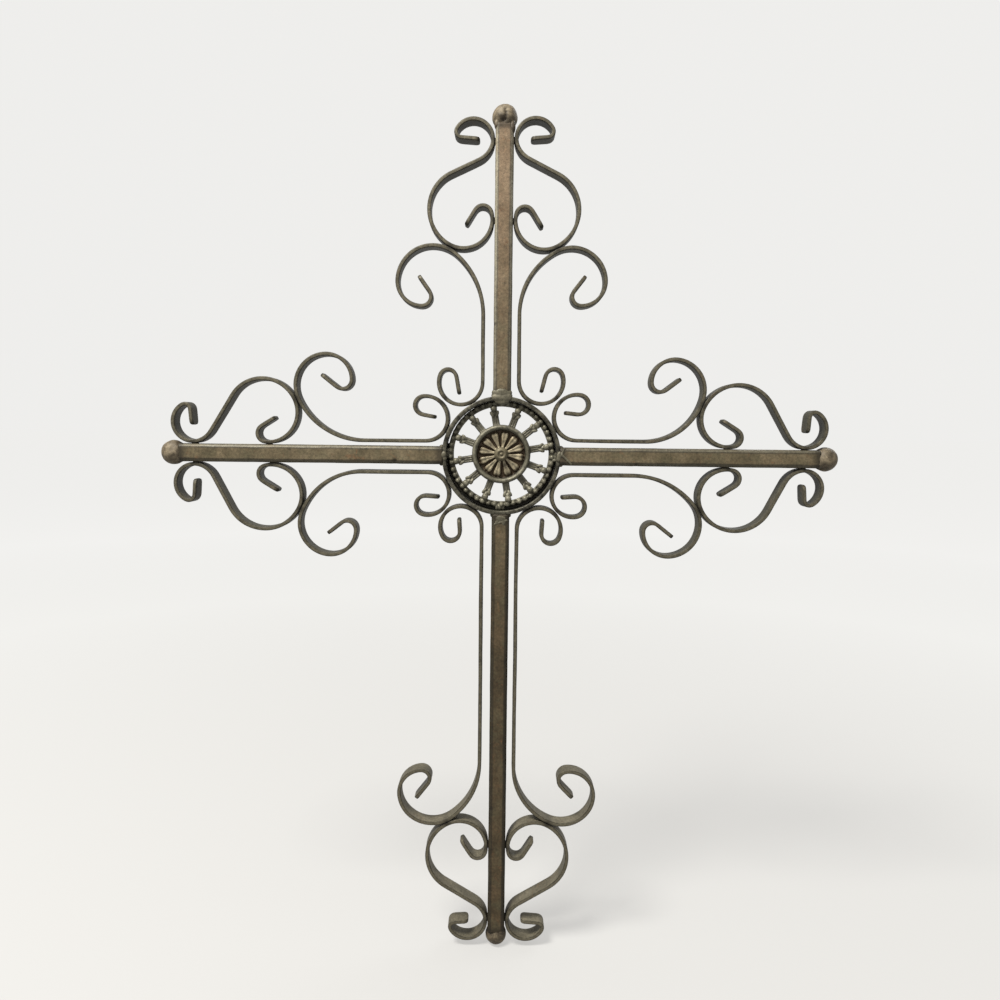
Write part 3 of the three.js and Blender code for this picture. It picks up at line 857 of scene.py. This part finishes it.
def hoop():
    """Hammered flat bar: its radius, thickness and front edge wander round the ring."""
    loop = rounded_box(HOOP_THICK / 2, HOOP_DEPTH / 2, HOOP_CORNER, 4, 2, 5)
    inward = loop[:, 0] < -HOOP_THICK / 2 + 0.1
    segments = 300

    def wander(a, scale, seed):
        return noise.noise(Vector((math.cos(a) * scale, math.sin(a) * scale, seed)))

    rings, front, painted_shade = [], [], []
    for i in range(segments):
        a = 2 * math.pi * i / segments
        radius = HOOP_RADIUS - HOOP_THICK / 2 + 0.14 * wander(a, 2.2, 3.1)
        r = radius + loop[:, 0] * (1 + 0.05 * wander(a, 5, 9.4))
        y = loop[:, 1] - HOOP_DEPTH / 2
        y = np.where(y < -HOOP_DEPTH / 2, y - 0.22 * wander(a, 4, 5.9), y)
        rings.append(np.column_stack([r * math.sin(a), y, r * math.cos(a)]))
        front.append(np.clip((-y - HOOP_DEPTH + 1.1) / 0.8, 0, 1))
        # painted shade on the inner face, darker towards the back
        painted_shade.append(np.where(inward, np.clip((y + HOOP_DEPTH) / 5, 0, 0.75), 0))
    verts, faces = lofted(np.array(rings), closed=True)
    marks = {"front": np.concatenate(front), "painted_shade": np.concatenate(painted_shade)}
    make_object("hoop_hammered", place(verts, 0), faces, FINISH["hoop"], marks, ["hoop"])


# Medallion: angles run from the top towards +X

def on_medal(a, radius, height, aside=0.0):
    """Point at an angle in radians, a height above the medallion's back and a distance aside."""
    return (math.sin(a) * radius + math.cos(a) * aside, -MEDAL_BACK - height,
            math.cos(a) * radius - math.sin(a) * aside)


def spun(profile, segments=200):
    """Ring turned about the medallion's axis; profile points are (radius, height above its back)."""
    turns = [2 * math.pi * i / segments for i in range(segments)]
    return lofted(np.array([[on_medal(a, r, h) for r, h in profile] for a in turns]), closed=True)


def disc(profile, segments=120):
    """Solid turned about the medallion's axis: its profile runs from mid back to mid front.

    A point on the axis becomes a tiny ring, so that every ring has the same number of points.
    """
    turns = [2 * math.pi * i / segments for i in range(segments)]
    return lofted(np.array([[on_medal(a, max(r, 0.02), h) for a in turns] for r, h in profile]))


def rib(start, end, widths, heights, base, angle, offset=0.0, groove=0.0):
    """Raised rib along a spoke's line: half widths and heights along it, a groove down its middle."""
    rings = []
    a = math.radians(angle)
    for t in np.linspace(0, 1, 18):
        r = start + (end - start) * t
        w = np.interp(t, np.linspace(0, 1, len(widths)), widths)
        h = np.interp(t, np.linspace(0, 1, len(heights)), heights)
        ring = []
        for v in np.linspace(-1, 1, 13):
            top = base + h * (1 - v * v) ** 0.42 - groove * math.exp(-(v / 0.38) ** 2)
            ring.append(on_medal(a, r, max(top, base), offset + v * w))
        ring += [on_medal(a, r, base - 0.8, offset + v * w) for v in np.linspace(1, -1, 5)]
        rings.append(ring)
    return lofted(np.array(rings))


def shade_sheet_part(outside, start, end, cuts):
    """Flat dark plate of painted shade behind the rim, from SHADE_SHEET_IN to a radius, between two angles in
    degrees.
    """
    corners = ((SHADE_SHEET_IN, 0), (outside, 0), (outside, SHADE_SHEET_THICK), (SHADE_SHEET_IN, SHADE_SHEET_THICK))
    turns = [math.radians(start + (end - start) * i / cuts) for i in range(cuts + 1)]
    return lofted(np.array([[on_medal(a, r, h) for r, h in corners] for a in turns]))


def beaded_rim():
    """Two turned rings and the beads, each a little off its place and size."""
    shells = [
        spun([(34.1, 0), (37.8, 0), (38.0, 2.0), (37.6, 2.9), (35.3, 3.0), (34.3, 2.7), (34.0, 1.8)]),
        spun([(33.9, 2.0), (34.7, 2.0), (34.7, 3.3), (34.3, 3.6), (33.9, 3.3)]),
    ]
    for i in range(BEADS):
        a = math.radians(360 * (i + 0.2 * noise.noise(Vector((i * 1.7, 0.3, 0.1)))) / BEADS)
        grow = 1 + 0.12 * noise.noise(Vector((i * 2.3, 4.1, 0.7)))
        size = (1.95 * grow, 2.1 * grow, 1.75 * grow)
        shells.append(lump(on_medal(a, BEAD_CIRCLE, 3.4), size, 7, math.degrees(a)))
    return shells


def hub():
    """Plate, ring, boss with its collar and knob, and the petals."""
    shells = [
        disc([(0, 0), (19.5, 0), (19.5, 1.2), (0, 1.4)]),
        spun([(17.1, 0), (20.8, 0), (21.0, 3.4), (20.4, 5.0), (19.5, 5.8), (18.5, 5.6), (17.6, 4.6),
              (17.1, 3.0)]),
        disc([(0, 1), (BOSS_RADIUS, 1), (BOSS_RADIUS, 4.8), (4.3, 6.0), (3.0, 6.6), (1.8, 6.3),
              (0, 6.0)], 60),
        spun([(2.1, 5.0), (3.6, 5.0), (3.5, 6.9), (2.9, 7.2), (2.2, 6.9)], 60),
        lump((0.2, -MEDAL_BACK - 6.2, 0.1), (1.2, 1.1, 1.0), 7),
    ]
    widths = [0.95, 1.2, 1.5, 1.9, 2.35, 2.8, 3.1, 2.9, 1.6]
    heights = [3.6, 3.4, 3.2, 3.1, 3.2, 3.4, 3.4, 2.8, 1.0]
    for i in range(PETALS):
        angle = PETAL_PHASE + 360 * i / PETALS + 3.0 * noise.noise(Vector((i * 1.9, 2.2, 0.4)))
        shells.append(rib(PETAL_ROOT, PETAL_TIP, widths, heights, 1.0, angle, groove=0.9))
    return shells


def baluster(angle):
    """Fluted shaft, two leaves, a bud between them and a knob."""
    a = math.radians(angle)
    fan = [1.1, 1.0, 0.95, 0.98, 1.0]
    shells = [rib(SPOKE_ROOT, SHAFT_TIP, fan, [3.6, 3.2, 3.0, 3.0, 2.6], 0.4, angle, offset=flute)
              for flute in (-1.6, 0.0, 1.6)]
    shells.append(rib(SPOKE_ROOT, SPOKE_TIP, [2.6, 2.4, 2.3, 2.3, 2.0], [1.6] * 5, 0.0, angle))
    for hand in (-1, 1):
        shells.append(lump(on_medal(a, LEAF_AT, 3.0, 1.9 * hand), (1.2, 1.5, 2.5), 8, angle + 26 * hand))
    shells.append(lump(on_medal(a, BUD_AT, 3.2), (1.2, 1.4, 1.7), 8, angle))
    shells.append(lump(on_medal(a, KNOB_AT, 4.0), (2.45, 2.3, 2.3), 9, angle))
    return shells


def medallion():
    """The casting in one skin, painted with its heights and with where petals and boss are."""
    shells = beaded_rim() + hub()
    for i in range(SPOKES):
        wander = 1.2 * noise.noise(Vector((i * 2.7, 6.2, 0.9)))
        shells += baluster(SPOKE_PHASE + 360 * i / SPOKES + wander)
    for angle, grow in ((0, 1.2), (92, 1.0), (180, 1.0), (270, 1.1)):
        for aside, size, rise in ((-1.6, 1.5, 0.0), (0.9, 1.9, 0.5), (2.8, 1.2, 1.0)):
            at = on_medal(math.radians(angle), TACK_AT, 2.6 + rise, aside)
            shells.append(lump(at, (size * grow, 1.7, 2.3), 7, angle))
    verts, faces = joined(shells)
    verts = verts + np.array([0, 0, MEDAL_SHIFT])
    # the two plates are the dark sheet of painted shade behind the rim, closing the gap to the hoop except
    # along the slot
    verts, faces = joined([
        (verts, faces),
        shade_sheet_part(SHADE_SHEET_OUT, SHADE_SHEET_START, SHADE_SHEET_END, 90),
        shade_sheet_part(SLOT_EDGE, SHADE_SHEET_END, 360 + SHADE_SHEET_START, 20),
    ])
    ob = make_object("medallion_cast", place(verts, 0), faces, FINISH["medallion"],
                     nodes=["medallion"])
    fused(ob, CAST_VOXEL, 1)
    points = mesh_points(ob)
    own = points + np.array([0, 0, HANG - MEDAL_SHIFT])
    radius = np.hypot(own[:, 0], own[:, 2])
    up = -own[:, 1] - MEDAL_BACK
    push = 0.10 * ripple(points, 2.6, 61) + 0.05 * ripple(points, 1.1, 62)
    own[:, 1] -= push * np.clip(up - 1.0, 0, 1)
    set_points(ob, own - np.array([0, 0, HANG - MEDAL_SHIFT]))
    petals = radius < PETAL_TIP
    hub_ring = radius < HUB_EDGE
    peak = np.where(petals, 3.7, np.where(hub_ring, 5.0, 3.9))
    hollow = np.where(petals, 2.4, np.where(hub_ring, 3.0, 1.8))
    mark(ob, "height", np.clip((up - hollow) / (peak - hollow), 0, 1))
    mark(ob, "petal", np.clip((PETAL_TIP - radius) / 0.4, 0, 1) * np.clip((radius - BOSS_RADIUS) / 0.4, 0, 1))
    mark(ob, "boss", np.clip((BOSS_EDGE - radius) / 0.4, 0, 1))


# Welds: a lump is (turn, (across, depth, out), half sizes, lean in degrees)

def weld(name, lumps):
    """Lumps of filler fused into one skin."""
    shells = []
    for turn, at, size, lean in lumps:
        verts, faces = lump(at, size, 9, lean)
        shells.append((place(verts, turn), faces))
    verts, faces = joined(shells)
    ob = make_object(name, verts, faces, FINISH["weld"])
    fused(ob, CAST_VOXEL, 2)
    points = mesh_points(ob)
    push = 0.16 * ripple(points, 3.4, 71) + 0.04 * ripple(points, 1.2, 72)
    points = points + np.column_stack([0.4 * push, -push, 0.4 * push])
    set_points(ob, points)
    # painted shade, darker towards the back where the filler meets the parts
    mark(ob, "painted_shade", np.clip((points[:, 1] + 10.5) / 2.5, 0, 0.85))


def run_of(turn, start, end, size, count):
    """Lumps in a row, as a bead of weld runs."""
    lumps = []
    for i in range(count):
        t = i / (count - 1)
        at = tuple(start[k] + (end[k] - start[k]) * t for k in range(3))
        grow = 1 + 0.18 * noise.noise(Vector((i * 1.9, turn * 0.1, size)))
        lumps.append((turn, at, (size * grow, 0.75 * size * grow, size * grow), 0))
    return lumps


def hoop_welds():
    """The top one runs from the bar over the hoop's front, the right one is sloppy, the others are small."""
    lumps = [
        (0, (0, -10.6, 44.6), (7.4, 2.9, 4.0), 0), (0, (-1.6, -11.4, 41.0), (6.0, 2.2, 3.4), 6),
        (0, (2.2, -11.3, 41.2), (5.4, 2.2, 3.4), -6), (0, (0.0, -11.6, 38.6), (5.2, 1.6, 2.4), 0),
        (90, (-0.6, -12.0, 41.4), (3.4, 1.2, 2.0), 12), (90, (2.2, -11.9, 40.6), (1.8, 1.2, 1.8), 0),
        (-90, (0.4, -11.8, 40.9), (2.6, 1.3, 2.2), 0), (-90, (-2.2, -11.8, 40.2), (1.6, 1.2, 1.6), 0),
        (180, (0.0, -11.8, 44.6), (4.6, 1.4, 2.6), 0), (180, (-2.4, -12.2, 48.2), (1.6, 1.0, 1.8), 20),
        (180, (2.6, -12.2, 47.4), (1.5, 0.9, 1.4), -15),
    ]
    lumps += run_of(90, (-1.2, -12.9, 43.2), (5.2, -12.9, 49.6), 0.95, 9)
    lumps += run_of(90, (-2.4, -12.6, 43.4), (-5.4, -12.2, 44.6), 0.9, 4)
    lumps += run_of(180, (-4.6, -12.6, 46.0), (4.2, -12.6, 48.8), 0.8, 8)
    for turn in (0, 90, 180, -90):
        for hand in (-1, 1):
            lumps.append((turn, (hand * 6.2, -7.0, 42.6), (1.4, 4.2, 1.7), 0))
    weld("hoop_welds", lumps)


def scroll_welds(contacts):
    """Upright fillets where scrolls touch; contacts are (turn, across, out)."""
    weld("scroll_welds", [(turn, (across, -5.4, out), (1.1, 4.4, 2.2), 0) for turn, across, out in contacts])


# Assembly

camera()
lighting()
floor()
FINISH = {
    "bar": bar_finish(), "strap": strap_finish(), "ball": ball_finish(), "hoop": hoop_finish(),
    "medallion": medallion_finish(), "weld": weld_finish(),
}

# Knocks in the bars: (across, depth, out from the hub's middle, size, how deep)
NICKS = {
    "upper": [(1.5, -12.7, 120, 0.9, 0.4), (-6.0, -11.5, 92, 1.2, 0.5)],
    "right": [(5.6, -12.0, 96, 1.4, 0.5)],
    "lower": [(-5.6, -12.2, 150, 1.3, 0.5), (4.8, -12.2, 262, 1.6, 0.5)],
    "left": [(-4.6, -12.2, 75.5, 1.7, 1.3), (3.0, -12.7, 150, 1.0, 0.4)],
}
# Weld filler at the balls' necks: (across, depth, out from the neck, then the three half sizes)
FILLER = {
    "upper": [(0, -6.3, 0.6, 7.0, 7.0, 2.2), (-5.4, -9.8, 0.2, 2.0, 3.0, 3.6),
              (5.2, -10.0, -1.4, 2.2, 3.2, 5.0)],
    "right": [(0, -6.3, 0.8, 7.2, 7.2, 2.2), (3.4, -10.6, 0.6, 3.0, 2.4, 2.2)],
    "lower": [(0, -6.3, 0.6, 6.8, 6.9, 1.9), (-3.4, -11.0, 0.2, 2.4, 2.0, 2.2)],
    "left": [(0, -6.3, 0.8, 7.1, 7.1, 2.2), (-3.8, -10.4, 0.6, 2.6, 2.4, 2.4)],
}
# Dents in the balls: (across, depth, out from the ball's middle, size, how deep)
DENTS = {
    "upper": [(0.4, -14.6, 3.2, 1.2, 0.5), (0.9, -14.9, 1.0, 1.3, 0.8), (0.8, -14.8, -1.2, 1.4, 0.8),
              (-1.6, -14.2, -4.4, 2.1, 1.5), (0.4, -14.4, -3.6, 1.7, 1.0)],
    "right": [(3.5, -13.0, -2.5, 2.0, 0.5), (-2.0, -14.4, 2.0, 1.5, 0.25)],
    "lower": [(2.4, -12.4, -3.0, 2.0, 0.5), (-3.0, -12.0, 1.0, 1.7, 0.35)],
    "left": [(3.4, -13.0, -2.0, 2.2, 0.5), (1.5, -14.4, -0.5, 1.6, 0.35), (-2.0, -14.0, -3.0, 1.5, 0.3)],
}

hoop()
medallion()
hoop_welds()
contact_welds = []
for index, (arm_name, arm) in enumerate(ARMS.items()):
    first_seed = ARM_SEEDS * index
    bar(arm_name, first_seed + 1, NICKS[arm_name])
    ball(arm_name, first_seed + 12, FILLER[arm_name], DENTS[arm_name])
    for word, side in (("a", -1), ("b", 1)):
        bends = {**BENDS, **BENT_ASIDE[(arm_name, side)]}
        outer, _, inner, _, _, _ = scroll_centres(arm, bends)
        meet = at_angle(inner, bends["inner"] + STRAP_HALF, bends["meet"])
        ring = ring_bend(bends)
        hoop_touch = ring / np.linalg.norm(ring) * HOOP_RADIUS
        twin_touch = at_angle(ring, bends["ring"], -45)
        # spots of painted shade where the scrolls touch each other, the hoop and the bar
        shaded_spots = [(meet, 3.0), (hoop_touch, 3.2), ((BAR_HALF, inner[1]), 3.0), ((BAR_HALF, outer[1]), 3.0),
                 (twin_touch, 2.4)]
        seed = first_seed + (4 if side > 0 else 8)
        strap("%s_long_scroll_%s" % (arm_name, word), long_path(arm, bends), arm_name, side, seed, shaded_spots)
        strap("%s_s_scroll_%s" % (arm_name, word), s_path(arm, bends), arm_name, side, seed + 2, shaded_spots)
        at_bar = BAR_HALF + 0.2
        for across, out in (meet, hoop_touch, (at_bar, inner[1]), (at_bar, outer[1])):
            contact_welds.append((arm["turn"], side * across, out))
scroll_welds(contact_welds)
